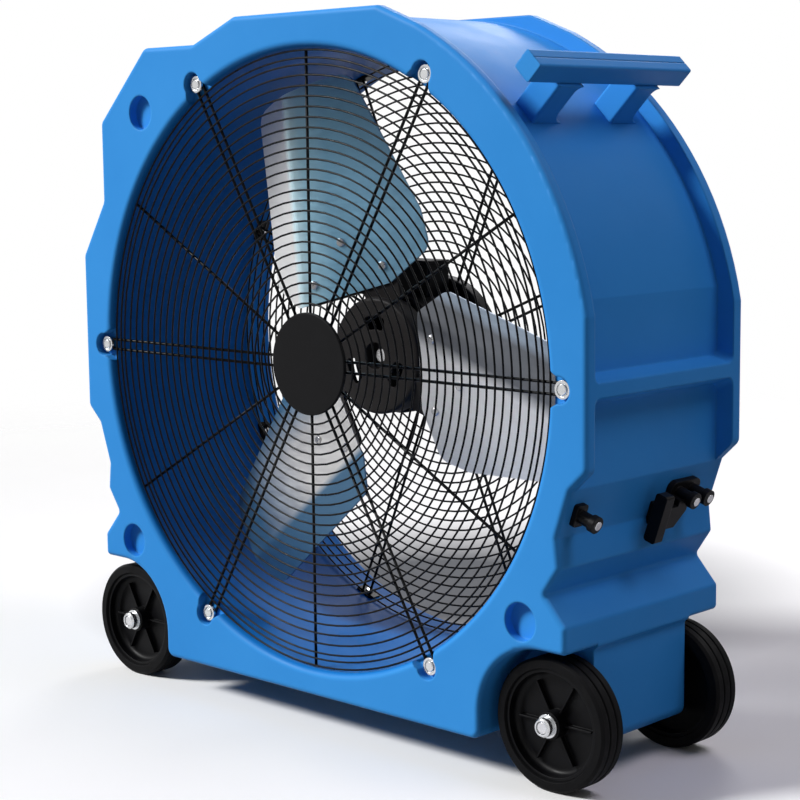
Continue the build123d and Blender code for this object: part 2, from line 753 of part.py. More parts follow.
def terminal_box():
    """Box on top of the motor, its base shaped to the motor, and its screwed lid."""
    y_front, y_back = box_place - box_length / 2, box_place + box_length / 2
    top = motor_radius + box_height
    body = slab(make_face(Polyline(
        (-box_width / 2, motor_radius * 0.8), (box_width / 2, motor_radius * 0.8),
        (box_width / 2, top), (-box_width / 2, top), close=True)), y_front, y_back)
    body = fillet(body.edges().filter_by(Axis.Z), 3.0)
    body -= drum(motor_radius, y_front - 1, y_back + 1)
    lid = Pos(0, box_place, axis_height + top + box_lid / 2) * Box(
        box_width + 2, box_length + 2, box_lid)
    lid = fillet(lid.edges().filter_by(Axis.Z), 4.0)
    lid = chamfer(lid.edges().group_by(Axis.Z)[-1], 0.8)
    return body, lid


def motor_shaft():
    front = hub_front + hub_recess_depth - shaft_stand
    shaft = drum(shaft_radius, front, motor_back + bearing_width - 1)
    return chamfer(shaft.edges().group_by(Axis.Y)[0], 0.8)


def blade_section(offset, thickness):
    """Blade section beside the fan axis: main plane and flap, joined by a rounded fold."""
    start = blade_root - 18
    fold = fold_root - fold_slope * (start - blade_root)
    main, flap = radians(blade_pitch), radians(blade_flap_pitch)
    y_fold = blade_middle + offset - fold * tan(main)
    low, high = -105.0, 140.0
    line = FilletPolyline(
        (blade_middle + offset - low * tan(main), low), (y_fold, fold),
        (y_fold - (high - fold) * tan(flap), high), radius=blade_fold_radius)
    plane = Plane(origin=(start, 0, axis_height), x_dir=(0, 1, 0), z_dir=(1, 0, 0))
    sheet = plane * trace(line, thickness)
    return extrude(sheet, amount=1.05 * blade_tip, dir=(1, fold_slope * tan(main), -fold_slope))


def blade_outline():
    """Blade seen from the front: small corners at the root, larger ones at the tip."""
    face = make_face(Polyline(*blade_points, close=True)) & Circle(blade_tip)
    for radius, near, far in ((6.0, 0, 80), (16.0, 80, 200), (18.0, 200, 400)):
        face = fillet([v for v in face.vertices() if near <= v.X < far], radius)
    return face


def rivet_bar(place, radius, low, high):
    """Cylinder square to the blade's main plane at a rivet; low and high are from its middle."""
    x, z = place
    normal = (0, cos(radians(blade_pitch)), sin(radians(blade_pitch)))
    plane = Plane(origin=(x, blade_middle - z * tan(radians(blade_pitch)), z + axis_height),
                  x_dir=(1, 0, 0), z_dir=normal)
    return extrude(plane.offset(low) * Circle(radius), amount=high - low)


def blade():
    sheet = blade_section(0, blade_thickness) & slab(blade_outline(), -110, 60)
    for place in rivet_places:
        sheet -= rivet_bar(place, rivet_shank, -10, 10)
    return sheet


def arm():
    """Pitched tongue of the hub behind one blade."""
    face = fillet(make_face(Polyline(*arm_points, close=True)).vertices(), 6.0)
    behind = (blade_thickness + arm_thickness) / 2 / cos(radians(blade_pitch))
    sheet = blade_section(behind, arm_thickness) & slab(face, -110, 60)
    sheet -= drum(hub_radius - hub_wall / 2, -110, 60)
    for place in rivet_places:
        sheet -= rivet_bar(place, rivet_shank, -10, 20)
    return sheet


def rotor_hub():
    """Cup with a bored boss, three curved windows in its face and three blade arms."""
    back = hub_back
    cup = drum(hub_radius, hub_front, back)
    cup = fillet(cup.edges().group_by(Axis.Y)[0], 4.0)
    cup -= drum(hub_radius - hub_wall, hub_front + hub_wall, back + 1)
    cup += drum(boss_radius, hub_front + hub_wall - 1, back)
    cup -= drum(hub_recess_radius, hub_front - 1, hub_front + hub_recess_depth)
    cup -= drum(shaft_radius + hub_fit, hub_front, back + 1)
    wedge = make_face(Polyline(
        (0, 0), on_circle(80, -window_half_angle), on_circle(80, window_half_angle), close=True))
    window = (Circle(window_outer) - Circle(window_inner)) & wedge
    window = fillet(window.vertices(), 4.0)
    hole = slab(window, hub_front - 1, hub_front + hub_wall + 1)
    tongue = arm()
    for k in range(blade_count):
        cup -= turned(hole, 90 + k * 360 / blade_count)
        cup += turned(tongue, blade_turn + k * 360 / blade_count)
    return cup


def blade_rivets():
    """Domed rivets through the blades and the arms."""
    front = -blade_thickness / 2
    back = blade_thickness / 2 + arm_thickness
    one = []
    for place in rivet_places:
        head = rivet_bar(place, rivet_radius, front - rivet_height, front)
        head = chamfer(head.edges().sort_by(Axis.Y)[0], 1.0)
        tail = rivet_bar(place, rivet_radius, back, back + rivet_height)
        one.append(head + rivet_bar(place, rivet_shank, front - 1, back + 1) + tail)
    return Compound(children=[turned(rivet, blade_turn + k * 360 / blade_count)
                              for k in range(blade_count) for rivet in one])


def handle_post(middle):
    """Post with a straight front side and a hollow rear side that flares at both ends."""
    inner, base = handle_rise - handle_bar / 2, core_radius - 10
    straight, hollow = middle - post_length / 2, middle + post_length / 2
    wide = hollow + 2 * post_foot_round
    strip = make_face(Polyline(
        (base, straight), (inner + 2, straight), (inner + 2, wide), (inner, wide),
        (inner, hollow), (core_radius, hollow), (core_radius, wide), (base, wide), close=True))
    for height, radius in ((inner, post_top_round), (core_radius, post_foot_round)):
        strip = fillet([v for v in strip.vertices()
                        if abs(v.X - height) + abs(v.Y - hollow) < 0.01], radius)
    plane = Plane(origin=(0, 0, axis_height), x_dir=(1, 0, 0), z_dir=(0, 0, 1))
    post = extrude(plane * strip, amount=post_width / 2, both=True)
    kept = post_length + post_foot_round
    post &= Pos((base + inner) / 2, straight + kept / 2, axis_height) * Box(
        inner - base, kept, post_width)
    return fillet(post.edges().filter_by(Axis.X).group_by(Axis.Y)[0], post_edge_round)


def carry_handle():
    """Square bar on two moulded posts, with a narrow groove along its outer side."""
    bar = Pos(handle_rise, 0, axis_height) * Box(handle_bar, handle_length, handle_bar)
    bar = fillet(bar.edges().filter_by(Axis.Y), handle_round)
    bar -= Pos(handle_rise + handle_bar / 2, 0, axis_height) * Box(1.2, handle_length + 2, 0.8)
    bar += handle_post(-post_spread)
    bar += handle_post(post_spread)
    bar -= drum(core_radius, front_face, rear_face)
    return turned(bar, handle_angle)


def on_slope(y, drop):
    """Plane on the right sloped wall: local x to the rear, y up the slope, z outward."""
    down = radians(slope_angle)
    x = core_half_width - drop * sin(down)
    z = -slope_drop - drop * cos(down)
    return Plane(origin=(x, y, z + axis_height), x_dir=(0, 1, 0), z_dir=(cos(down), 0, -sin(down)))


def plate_on(plane, width, length, height, corner):
    face = RectangleRounded(width, length, corner)
    return extrude(plane * face, amount=height)


def peg_on(plane, reach):
    """Round peg with a wider head that keeps the cord on it."""
    neck = extrude(plane * Circle(neck_radius), amount=reach - peg_head)
    head = extrude(plane.offset(reach - peg_head) * Circle(peg_head_radius), amount=peg_head)
    return neck + head


def cord_peg():
    plane = on_slope(peg_place, peg_drop)
    return plate_on(plane, *peg_plate, plate_corner) + peg_on(plane, peg_reach)


def hook_pegs():
    plane = on_slope(hook_place, hook_drop)
    return [plane * Pos(side * hook_peg_pitch / 2, hook_peg_rise) for side in (-1, 1)]


def cord_hook():
    """Two pegs on a base plate, and an arm that ends in an upright bar."""
    plane = on_slope(hook_place, hook_drop)
    hook = plate_on(plane, *hook_plate, hook_plate_corner)
    for spot in hook_pegs():
        hook += peg_on(Plane(spot), hook_peg_reach)
    hook += extrude(plane * make_face(Polyline(*hook_arm_points, close=True)), amount=hook_arm)
    width, length, height = hook_bar
    spot = Pos(min(x for x, v in hook_arm_points) - width / 2, hook_bar_rise - length / 2)
    bar = extrude(plane.offset(hook_bar_gap) * spot * Rectangle(width, length), amount=height)
    hook += fillet(bar.edges().filter_by(Axis.Y), 3.0)
    return hook - slab(core_outline(True), front_face, rear_face)


def cleat_screws():
    """Pan heads set on the ends of the cleat pegs."""
    spots = [on_slope(peg_place, peg_drop).offset(peg_reach)]
    spots += [Plane(spot).offset(hook_peg_reach) for spot in hook_pegs()]
    return Compound(children=[extrude(spot * Circle(cleat_screw_radius), amount=cleat_screw_height)
                              for spot in spots])


def four(shape):
    """The same piece at all four wheels."""
    return Compound(children=[at_wheel(shape, x, y) for x in (-1, 1) for y in (-1, 1)])


def build():
    guard_washers, guard_screws = front_guard_fixings()
    bolts, nuts = motor_through_bolts()
    box, lid = terminal_box()
    spacer, washer, nut = axle_fixings()
    nodes = {
        "casing": housing(),
        "carry_handle": carry_handle(),
        "front_guard": front_guard(),
        "front_hub_plate": front_hub_plate(),
        "front_guard_washers": guard_washers,
        "front_guard_screws": guard_screws,
        "rear_guard": rear_guard(),
        "rear_guard_screws": rear_guard_screws(),
        "motor_mount_plate": mount_plate(),
        "motor_body": motor_body(),
        "motor_front_shield": motor_front_shield(),
        "motor_rear_shield": motor_rear_shield(),
        "motor_bearings": motor_bearings(),
        "motor_bolts": bolts,
        "motor_nuts": nuts,
        "terminal_box": box,
        "terminal_box_lid": lid,
        "motor_shaft": motor_shaft(),
        "rotor_hub": rotor_hub(),
        "blade_rivets": blade_rivets(),
        "axle_left": axle(-1),
        "axle_right": axle(1),
        "axle_spacers": four(spacer),
        "axle_washers": four(washer),
        "axle_nuts": four(nut),
        "cord_peg": cord_peg(),
        "cord_hook": cord_hook(),
        "cleat_screws": cleat_screws(),
    }
    one_blade = blade()
    for k in range(blade_count):
        nodes[f"blade_{k + 1}"] = turned(one_blade, blade_turn + k * 360 / blade_count)
    pieces = {"hub": wheel_hub(), "tyre": tyre(), "bush": wheel_bush()}
    for x_name, x_side in (("left", -1), ("right", 1)):
        for y_name, y_side in (("front", -1), ("rear", 1)):
            for name, piece in pieces.items():
                nodes[f"wheel_{y_name}_{x_name}_{name}"] = at_wheel(piece, x_side, y_side)
    return nodes


if __name__ == "__main__":
    os.makedirs("parts", exist_ok=True)
    for name, shape in build().items():
        export_step(shape, f"parts/{name}.step")
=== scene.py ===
import math

import bmesh
import bpy
from mathutils import Matrix, Vector


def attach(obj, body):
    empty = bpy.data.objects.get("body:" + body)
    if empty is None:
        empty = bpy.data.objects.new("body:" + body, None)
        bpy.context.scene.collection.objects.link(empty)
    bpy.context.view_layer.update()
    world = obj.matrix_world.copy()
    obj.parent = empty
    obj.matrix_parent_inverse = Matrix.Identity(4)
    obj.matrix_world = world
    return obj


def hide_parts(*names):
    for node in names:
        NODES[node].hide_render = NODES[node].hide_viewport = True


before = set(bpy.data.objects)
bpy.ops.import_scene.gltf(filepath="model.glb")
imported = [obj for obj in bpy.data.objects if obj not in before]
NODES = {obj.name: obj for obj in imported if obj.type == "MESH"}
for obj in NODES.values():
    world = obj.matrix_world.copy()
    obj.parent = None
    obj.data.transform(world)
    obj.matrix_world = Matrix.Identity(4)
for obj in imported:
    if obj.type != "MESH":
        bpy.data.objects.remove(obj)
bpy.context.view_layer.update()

SCENE = bpy.context.scene
COLLECTION = SCENE.collection

# ---- places of the model, in metres ----
AXIS = 0.3715              # height of the fan axis above the floor
AXIS_POINT = (0, 0, AXIS)
BORE = 0.308
FRONT_SEAT, REAR_SEAT = -0.10825, 0.083

# ---- guards, in metres ----
RING_WIRE, SPOKE_WIRE, SPOKE_GAP = 0.002, 0.003, 0.0106
RING_SIDES, SPOKE_SIDES = 8, 10
WELD_SINK = 0.0004         # how far welded wires sink into each other
RIM_RING = 0.3055
SECOND_RING = 0.298        # closer to its neighbours than the even rings are
FRONT_EVEN_RING, FRONT_RING_STEP, FRONT_EVEN_RINGS = 0.2917, 0.01007, 25
REAR_EVEN_RING, REAR_RING_STEP, REAR_EVEN_RINGS = 0.2971, 0.0102, 21
STEPS_PER_METRE, FEWEST_STEPS = 420, 40      # steps round a ring, by its radius
HUB_PLATE, MOUNT_PLATE = 0.051, 0.077
UNDER_HUB_PLATE, UNDER_MOUNT_PLATE = 0.008, 0.001      # reach of the spokes under the plates
FRONT_SPOKES, REAR_SPOKES = 6, 8             # doubled spokes
FRONT_SPOKE_MIDDLE, REAR_SPOKE_MIDDLE = 0.18, 0.19
SCREW_CIRCLE = 0.320
BEND_LEAD, BEND_STEPS = 0.004, 10            # the bend round a screw, and the lead to it
TAB_OUTER, TAB_INNER, TAB_WIDTH, TAB_CORNER = 0.30785, 0.30585, 0.024, 0.003
TAB_ENDS = (0.077, 0.094)
TAB_STEPS, TAB_CORNER_STEPS = 16, 5
TAB_CORNER_SHARE = 3       # steps at each end of a tab that its rounded corner takes

# ---- blades ----
BLADE_TURN = -13.7         # turn of the first blade about the axis, in degrees
BLADE_ROOT, FOLD_ROOT, FOLD_SLOPE = 0.068, 0.066, 0.136
BELOW_FOLD, ABOVE_FOLD = 0.12, 0.045         # reach of the painted light and shade on both sides of the fold
# Painted shade at the outer end of a blade starts and is full at these distances from the axis.
TIP_SHADE_START, TIP_SHADE_END = 0.17, 0.26              # distances from the axis
# For each blade: its painted light and shade from the far edge to the flap, with the fold at 0.73,
# and the painted shade that its outer end turns to, or None.
BLADE_PAINTED_LIGHT_AND_SHADE = (
    # first blade: lit silver, a dark band of painted shadow below the fold, a flap in grey-blue
    # painted shade
    ([(0.0, (0.90, 0.90, 0.90)), (0.54, (0.84, 0.84, 0.85)), (0.64, (0.17, 0.18, 0.20)),
      (0.86, (0.14, 0.15, 0.17)), (0.91, (0.28, 0.34, 0.42))], None),
    # second blade: blue painted shade over the main plane, a painted highlight along the fold, a lit
    # silver flap
    ([(0.0, (0.19, 0.38, 0.54)), (0.47, (0.21, 0.43, 0.60)), (0.64, (0.34, 0.58, 0.72)),
      (0.72, (0.60, 0.80, 0.88)), (0.76, (0.92, 0.92, 0.92))], None),
    # third blade: blue painted shade at the far edge, lit silver in the middle, a flap in blue painted
    # shade
    ([(0.0, (0.10, 0.24, 0.40)), (0.30, (0.76, 0.75, 0.74)), (0.69, (0.74, 0.73, 0.72)),
      (0.74, (0.09, 0.20, 0.33))], (0.06, 0.17, 0.31)))

# ---- colours ----
BLUE = (0.038, 0.282, 0.725)
CASING_PALE, CASING_DARK = (0.046, 0.308, 0.765), (0.031, 0.256, 0.675)
# The handle's blues are a touch paler than the casing's: painted light for the light on its top faces.
HANDLE_PALE, HANDLE_DARK = (0.048, 0.312, 0.775), (0.033, 0.262, 0.685)
WALL_PAINTED_SHADE = (0.18, 0.60, 0.76)               # painted shade that darkens the drum's inside wall
# distances from the axis where that painted shade is full and where it is gone
WALL_PAINTED_SHADE_FULL, WALL_PAINTED_SHADE_GONE = BORE + 0.0005, BORE + 0.004
SOFT_BLACK = (0.002, 0.002, 0.0026)

# ---- camera ----
CAMERA_PLACE = (1.35009, -1.39813, 0.58159)
CAMERA_YAW, CAMERA_PITCH, CAMERA_ROLL = 0.76195, 0.13178, -0.010512      # in radians
FOCAL_PIXELS, PHOTO_WIDTH, SENSOR_WIDTH = 1898.6, 800, 36.0

# ---- floor and light ----
FLOOR_RADII, FLOOR_SIDES = (0.6, 1.2, 2.0, 3.2), 48
FLOOR_FADE_START, FLOOR_FADE_END = 1.0, 2.6
FLOOR_TO_OTHER_RAYS = (0.24, 0.24, 0.25)
# A painted shadow darkens the floor in a soft patch behind the fan, full near its centre, gone further
# out.
SHADE_CENTRE, SHADE_COLOUR = (-0.32, 0.44, 0), (0.09, 0.095, 0.105)
SHADE_FULL, SHADE_GONE = 0.16, 0.50
FAN_MIDDLE = (0, 0, 0.35)
# name, place, width and height
CARDS = (("card_front", (0.1, -2.6, 0.8), 1.9, 2.0),
         ("card_right", (2.3, 1.5, 0.8), 2.6, 1.8))
KEY_PLACE, KEY_ENERGY, KEY_ANGLE = (-1.6, -1.7, 2.05), 3.3, 14
# name, place, size, energy and colour
LAMPS = (("near", (-1.2, -1.35, 1.5), 0.7, 10, (1, 1, 1)),
         ("rim", (-1.3, 2.6, 2.2), 1.3, 20, (0.97, 0.96, 1)),
         ("top", (1.5, 0.5, 2.4), 1.2, 19, (0.93, 0.86, 1)))
SURROUND_AS_LIGHT, SURROUND_AS_SEEN = 0.10, 1.0


# ---------------------------------------------------------------- camera
def make_camera():
    """Camera at the photograph's place, worked out from the object's own outline."""
    yaw, pitch, roll = CAMERA_YAW, CAMERA_PITCH, CAMERA_ROLL
    back = Vector((math.sin(yaw) * math.cos(pitch), -math.cos(yaw) * math.cos(pitch), math.sin(pitch)))
    level_right = Vector((math.cos(yaw), math.sin(yaw), 0))
    level_up = level_right.cross(-back)
    right = level_right * math.cos(roll) + level_up * math.sin(roll)
    up = level_up * math.cos(roll) - level_right * math.sin(roll)
    data = bpy.data.cameras.new("camera")
    data.sensor_width = SENSOR_WIDTH
    data.lens = FOCAL_PIXELS / PHOTO_WIDTH * SENSOR_WIDTH
    data.clip_start, data.clip_end = 0.05, 60
    camera = bpy.data.objects.new("camera", data)
    turn = Matrix((right, up, back)).transposed().to_4x4()
    camera.matrix_world = Matrix.Translation(CAMERA_PLACE) @ turn
    COLLECTION.objects.link(camera)
    SCENE.camera = camera


# ---------------------------------------------------------------- materials
class Tree:
    """Short forms for the nodes of one material."""

    # places of a mix node's sockets, when it mixes colours
    MIX_FACTOR, MIX_A, MIX_B, MIX_RESULT = 0, 6, 7, 2

    def __init__(self, name):
        self.mat = bpy.data.materials.new(name)
        self.mat.use_nodes = True
        self.nodes = self.mat.node_tree.nodes
        self.links = self.mat.node_tree.links
        self.shader = self.nodes["Principled BSDF"]
        self.coords = self.nodes.new("ShaderNodeTexCoord").outputs["Object"]

    def fill(self, socket, value):
        """Link a socket to another one, or give it a plain value."""
        if hasattr(value, "is_output"):
            self.links.new(value, socket)
        else:
            socket.default_value = value

    def set(self, **values):
        """Fill the shader's own sockets, named with _ for a space."""
        for key, value in values.items():
            self.fill(self.shader.inputs[key.replace("_", " ")], value)

    def node(self, kind, inputs=(), **settings):
        made = self.nodes.new(kind)
        for key, value in settings.items():
            setattr(made, key, value)
        for key, value in dict(inputs).items():
            self.fill(made.inputs[key], value)
        return made

    def noise(self, scale, detail, rough=0.55, stretch=None, turn=(0, 0, 0)):
        vector = self.coords
        if stretch:
            vector = self.node("ShaderNodeMapping", {
                "Vector": vector, "Rotation": turn, "Scale": stretch}).outputs[0]
        return self.node("ShaderNodeTexNoise", {
            "Vector": vector, "Scale": scale, "Detail": detail, "Roughness": rough}).outputs["Fac"]

    def distance(self, place, vector=None):
        """Distance from a place, measured from the surface or from another vector."""
        start = self.coords if vector is None else vector
        return self.node("ShaderNodeVectorMath", {0: start, 1: place},
                         operation="DISTANCE").outputs["Value"]

    def spread(self, value, low, high, from_low=0.3, from_high=0.7):
        """Value brought from one range to another."""
        return self.node("ShaderNodeMapRange", {
            "Value": value, "From Min": from_low, "From Max": from_high,
            "To Min": low, "To Max": high}).outputs[0]

    def ramp(self, value, stops):
        made = self.node("ShaderNodeValToRGB", {"Fac": value})
        while len(made.color_ramp.elements) < len(stops):
            made.color_ramp.elements.new(0.5)
        for element, (place, colour) in zip(made.color_ramp.elements, stops):
            element.position = place
            element.color = (*colour, 1)
        return made.outputs["Color"]

    def mix(self, factor, a, b, blend="MIX"):
        made = self.node("ShaderNodeMix", data_type="RGBA", blend_type=blend)
        self.fill(made.inputs[self.MIX_FACTOR], factor)
        for key, colour in ((self.MIX_A, a), (self.MIX_B, b)):
            plain = isinstance(colour, tuple)
            self.fill(made.inputs[key], (*colour, 1) if plain else colour)
        return made.outputs[self.MIX_RESULT]

    def bump(self, height, strength, distance, normal=None):
        inputs = {"Height": height, "Strength": strength, "Distance": distance}
        if normal is not None:
            inputs["Normal"] = normal
        return self.node("ShaderNodeBump", inputs).outputs[0]

    def soft_edge(self, radius):
        return self.node("ShaderNodeBevel", {"Radius": radius}, samples=6).outputs[0]


def toned(colour, gain, lift=0.0):
    """Paler or darker tone of a colour."""
    return tuple(min(1, part * gain + lift) for part in colour)


def moulded(name, pale, dark, edge, inner=None):
    """Blue moulded plastic: slight mottling, fine grain, faint scuffs, soft edges.

    inner is the colour that the drum's inside wall is multiplied by, a painted shade that darkens it."""
    t = Tree(name)
    broad = t.noise(3.2, 5, 0.6)
    fine = t.noise(55, 6, 0.7)
    base = t.ramp(broad, [(0.30, dark), (0.52, BLUE), (0.74, pale)])
    base = t.mix(t.spread(fine, 0.0, 0.10, 0.45, 0.75), base, pale)
    scuffs = t.noise(38, 8, 0.78, stretch=(1.0, 0.35, 2.6))
    marks = t.spread(scuffs, 0.0, 0.22, 0.665, 0.74)
    base = t.mix(marks, base, toned(BLUE, 1.5, 0.06))
    # painted shade that darkens the drum's inside wall
    if inner:
        flat = t.node("ShaderNodeVectorMath", {0: t.coords, 1: (1, 0, 1)}, operation="MULTIPLY")
        reach = t.distance(AXIS_POINT, flat.outputs[0])
        inside = t.spread(reach, 1.0, 0.0, WALL_PAINTED_SHADE_FULL, WALL_PAINTED_SHADE_GONE)
        base = t.mix(inside, base, t.mix(1.0, base, inner, "MULTIPLY"))
    rough = t.spread(t.noise(9, 6, 0.65), 0.36, 0.52)
    normal = t.soft_edge(edge)
    normal = t.bump(t.noise(7, 2, 0.4), 0.10, 0.004, normal)
    normal = t.bump(t.noise(950, 2, 0.5), 0.10, 0.0003, normal)
    t.set(Base_Color=base, Roughness=rough, Normal=normal, Specular_IOR_Level=0.08)
    return t.mat


def coated_wire(name):
    """Gloss black coating, a little paler and duller in places."""
    t = Tree(name)
    base = t.ramp(t.noise(60, 5), [(0.35, (0.0008, 0.001, 0.0015)), (0.7, (0.002, 0.0023, 0.003))])
    t.set(Base_Color=base, Roughness=t.spread(t.noise(130, 5), 0.24, 0.42),
          Normal=t.bump(t.noise(420, 3), 0.12, 0.0003), Specular_IOR_Level=0.10)
    return t.mat


def dark_paint(name, colour, rough):
    """Satin paint on metal, with patches of dust and slight orange peel."""
    t = Tree(name)
    dust = t.noise(24, 7, 0.7)
    base = t.mix(t.spread(dust, 0.0, 0.55, 0.5, 0.72), colour, toned(colour, 1.6, 0.001))
    normal = t.bump(t.noise(600, 3), 0.2, 0.0003, t.soft_edge(0.0015))
    t.set(Base_Color=base, Roughness=t.spread(t.noise(40, 5), rough - 0.07, rough + 0.09),
          Normal=normal, Specular_IOR_Level=0.09)
    return t.mat


def sheet_metal(name, angle, across, tip_shade):
    """Mill-finish aluminium: rolling lines, a soft cloudiness, and painted light and shade over the
    blade.

    angle is the blade's turn about the axis, in degrees. across and tip are its painted light and
    shade and the painted shade at its outer end, as in the table of blade light and shade above."""
    t = Tree(name)
    turn = math.radians(angle)
    lines = t.noise(1.0, 6, 0.7, stretch=(7, 240, 420), turn=(0, turn, 0))
    clouds = t.noise(9, 5, 0.6)
    cosine, sine = math.cos(turn), math.sin(turn)
    square_to_fold = (FOLD_SLOPE * cosine - sine, 0, FOLD_SLOPE * sine + cosine)
    past = t.node("ShaderNodeVectorMath", {0: t.coords, 1: square_to_fold},
                  operation="DOT_PRODUCT").outputs["Value"]
    fold = FOLD_ROOT + FOLD_SLOPE * BLADE_ROOT + (FOLD_SLOPE * sine + cosine) * AXIS
    # painted light and shade across the blade, measured from its fold
    base = t.ramp(t.spread(past, 0.0, 1.0, fold - BELOW_FOLD, fold + ABOVE_FOLD), across)
    # painted shade that the blade's outer end turns to
    if tip_shade:
        base = t.mix(t.spread(t.distance(AXIS_POINT), 0.0, 1.0, TIP_SHADE_START, TIP_SHADE_END), base, tip_shade)
    base = t.mix(t.spread(clouds, 0.0, 0.22), base, (0.8, 0.8, 0.8), "MULTIPLY")
    base = t.mix(t.spread(lines, 0.0, 0.4, 0.4, 0.75), base, (1.18, 1.18, 1.18), "MULTIPLY")
    rough = t.spread(lines, 0.32, 0.50)
    normal = t.bump(lines, 0.10, 0.0003, t.bump(t.noise(5, 2), 0.14, 0.004))
    t.set(Base_Color=base, Roughness=rough, Normal=normal, Metallic=0.7)
    return t.mat


def metal(name, colour, rough, scale=300, streak=None):
    """Plated or turned steel with fine marks."""
    t = Tree(name)
    marks = t.noise(scale, 6, 0.65, stretch=streak)
    base = t.mix(t.spread(marks, 0.0, 0.5, 0.4, 0.75), colour, toned(colour, 0.72))
    t.set(Base_Color=base, Roughness=t.spread(marks, rough - 0.06, rough + 0.12),
          Normal=t.bump(marks, 0.08, 0.0002, t.soft_edge(0.0006)), Metallic=1.0)
    return t.mat


def rubber(name):
    """Matte black rubber with patches of grey dust."""
    t = Tree(name)
    dust = t.noise(70, 7, 0.75)
    base = t.ramp(dust, [(0.35, (0.0015, 0.0015, 0.002)), (0.62, (0.003, 0.003, 0.0035)),
                         (0.8, (0.010, 0.010, 0.0095))])
    t.set(Base_Color=base, Roughness=t.spread(t.noise(90, 5), 0.5, 0.68),
          Normal=t.bump(t.noise(800, 4), 0.22, 0.0004, t.soft_edge(0.001)),
          Specular_IOR_Level=0.08)
    return t.mat


def grained_plastic(name, colour, rough):
    """Moulded plastic with fine spark grain."""
    t = Tree(name)
    base = t.mix(t.spread(t.noise(30, 6), 0.0, 0.6, 0.5, 0.75), colour, toned(colour, 1.9))
    t.set(Base_Color=base, Roughness=t.spread(t.noise(60, 4), rough - 0.06, rough + 0.1),
          Normal=t.bump(t.noise(1300, 3), 0.18, 0.0003, t.soft_edge(0.001)),
          Specular_IOR_Level=0.10)
    return t.mat


def dress(material, *names):
    """Give nodes of the model this material in place of their own."""
    for name in names:
        data = NODES[name].data
        data.materials.clear()
        data.materials.append(material)


def make_materials():
    """Make the materials and dress the model's nodes in them."""
    looks = {
        "casing": moulded("casing_blue", CASING_PALE, CASING_DARK, 0.003, WALL_PAINTED_SHADE),
        "handle": moulded("handle_blue", HANDLE_PALE, HANDLE_DARK, 0.002),
        "wire": coated_wire("guard_black"),
        "plate": dark_paint("plate_charcoal", SOFT_BLACK, 0.46),
        "motor": dark_paint("motor_dark", (0.003, 0.003, 0.004), 0.42),
        "rotor": dark_paint("rotor_dark", (0.026, 0.024, 0.024), 0.38),
        "zinc": metal("fixing_zinc", (0.60, 0.61, 0.62), 0.20),
        "steel": metal("steel", (0.62, 0.62, 0.63), 0.26, 220, (1, 0.05, 1)),
        "wheel": grained_plastic("wheel_black", SOFT_BLACK, 0.42),
        "bush": grained_plastic("bush_white", (0.40, 0.39, 0.36), 0.4),
        "tyre": rubber("tyre_black"),
        "cleat": grained_plastic("cleat_black", (0.0018, 0.0018, 0.0024), 0.38),
    }
    dress(looks["casing"], "casing")
    dress(looks["handle"], "carry_handle")
    dress(looks["plate"], "front_hub_plate")
    dress(looks["wire"], "front_guard", "rear_guard")
    dress(looks["zinc"], "front_guard_washers", "front_guard_screws", "rear_guard_screws",
          "motor_bolts", "motor_nuts", "axle_washers", "axle_nuts", "cleat_screws")
    dress(looks["motor"], "motor_mount_plate", "motor_body", "motor_front_shield",
          "motor_rear_shield", "terminal_box", "terminal_box_lid")
    dress(looks["steel"], "motor_bearings", "axle_left", "axle_right", "axle_spacers",
          "motor_shaft", "blade_rivets")
    dress(looks["rotor"], "rotor_hub")
    dress(looks["cleat"], "cord_peg", "cord_hook")
    # Each blade has its own copy of the aluminium, with its own painted light and shade.
    for k, (across, tip_shade) in enumerate(BLADE_PAINTED_LIGHT_AND_SHADE):
        aluminium = sheet_metal(f"blade_aluminium_{k + 1}", BLADE_TURN + k * 120, across, tip_shade)
        dress(aluminium, f"blade_{k + 1}")
    for end in ("front", "rear"):
        for side in ("left", "right"):
            dress(looks["wheel"], f"wheel_{end}_{side}_hub")
            dress(looks["bush"], f"wheel_{end}_{side}_bush")
            dress(looks["tyre"], f"wheel_{end}_{side}_tyre")
    return looks


# ---------------------------------------------------------------- mesh helpers
def spot(radius, angle, y):
    """Point at an angle round the fan axis, counter-clockwise seen from the front."""
    return Vector((radius * math.cos(angle), y, radius * math.sin(angle) + AXIS))


def at_angle(points, angle):
    """Points given as (along the radial line, y, across), turned about the fan axis."""
    cosine, sine = math.cos(angle), math.sin(angle)
    return [Vector((x * cosine - z * sine, y, x * sine + z * cosine + AXIS)) for x, y, z in points]


def join(bm, one, two):
    """Faces between two outlines that have the same number of vertices."""
    count = len(one)
    for k in range(count):
        n = (k + 1) % count
        bm.faces.new((one[k], one[n], two[n], two[k]))


def cap(bm, outlines):
    """Faces that close both ends of a row of outlines."""
    bm.faces.new(outlines[0][::-1])
    bm.faces.new(outlines[-1])


def tube(bm, points, radius, sides, closed=False):
    """Round wire through points of a smooth path that lies square to the fan axis."""
    outlines, count = [], len(points)
    for i, point in enumerate(points):
        before = points[(i - 1) % count] if closed or i else point
        after = points[(i + 1) % count] if closed or i < count - 1 else point
        along = (after - before).normalized()
        side = along.cross(Vector((0, 1, 0))).normalized()
        up = side.cross(along).normalized()
        outlines.append([bm.verts.new(point + radius * (math.cos(a) * side + math.sin(a) * up))
                         for a in (2 * math.pi * k / sides for k in range(sides))])
    for one, two in zip(outlines, outlines[1:]):
        join(bm, one, two)
    if closed:
        join(bm, outlines[-1], outlines[0])
    else:
        cap(bm, outlines)


